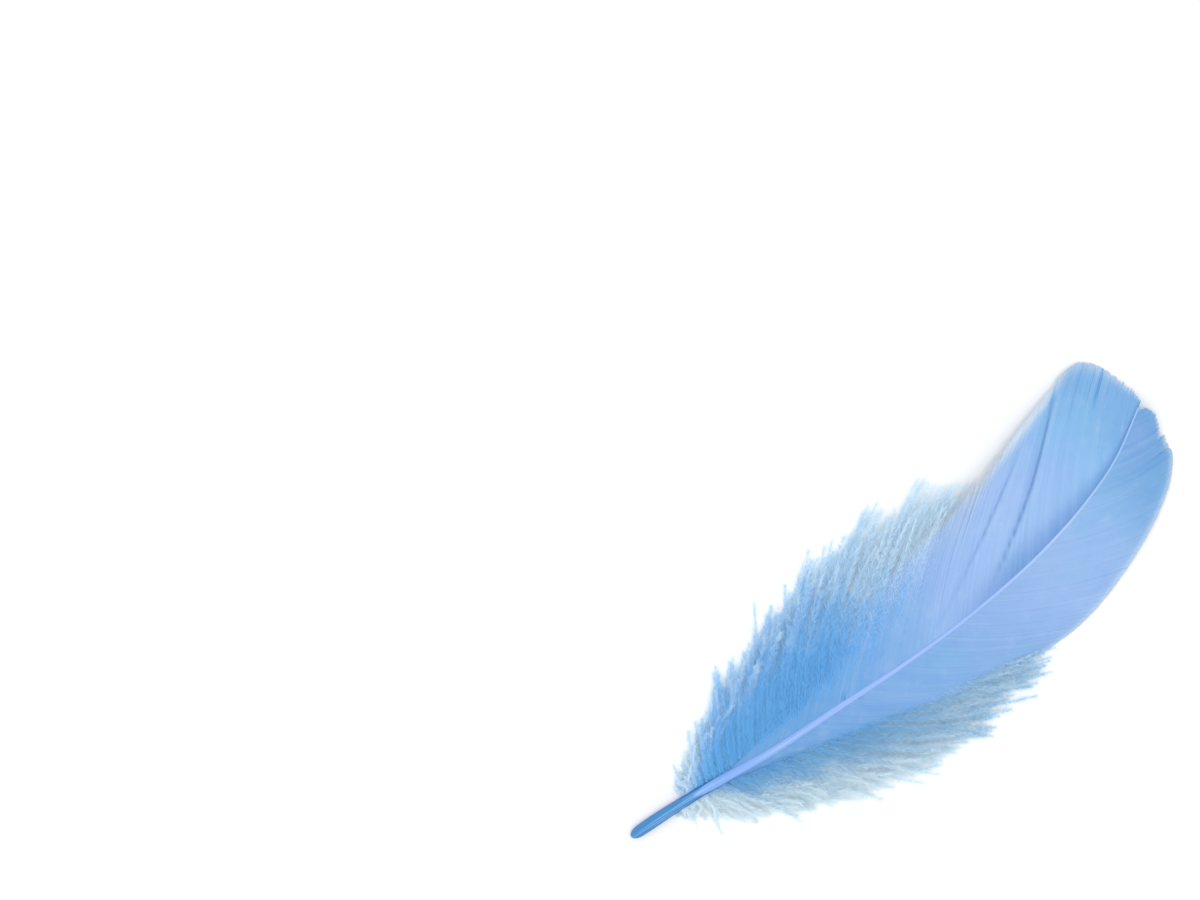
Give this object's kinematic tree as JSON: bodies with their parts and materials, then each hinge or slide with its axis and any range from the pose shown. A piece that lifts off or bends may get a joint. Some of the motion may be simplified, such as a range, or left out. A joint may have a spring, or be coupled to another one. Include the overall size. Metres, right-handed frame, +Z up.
{
  "type": "goose quill feather",
  "caption": "Dyed blue goose feather lying flat: bare quill, curved shaft, two closed vanes and loose down round its base.",
  "frame": {"origin": "on the surface the feather lies on, under the middle of its outline seen from above", "axes": "+Z up, away from that surface; +Y along the feather, from the quill's end to the tip; +X towards the side with the fuller down"},
  "size_m": [0.0562, 0.1448, 0.0086],
  "materials": {
    "feather": "matte"
  },
  "bodies": {
    "root": {"feather": "feather"}
  },
  "joints": []
}
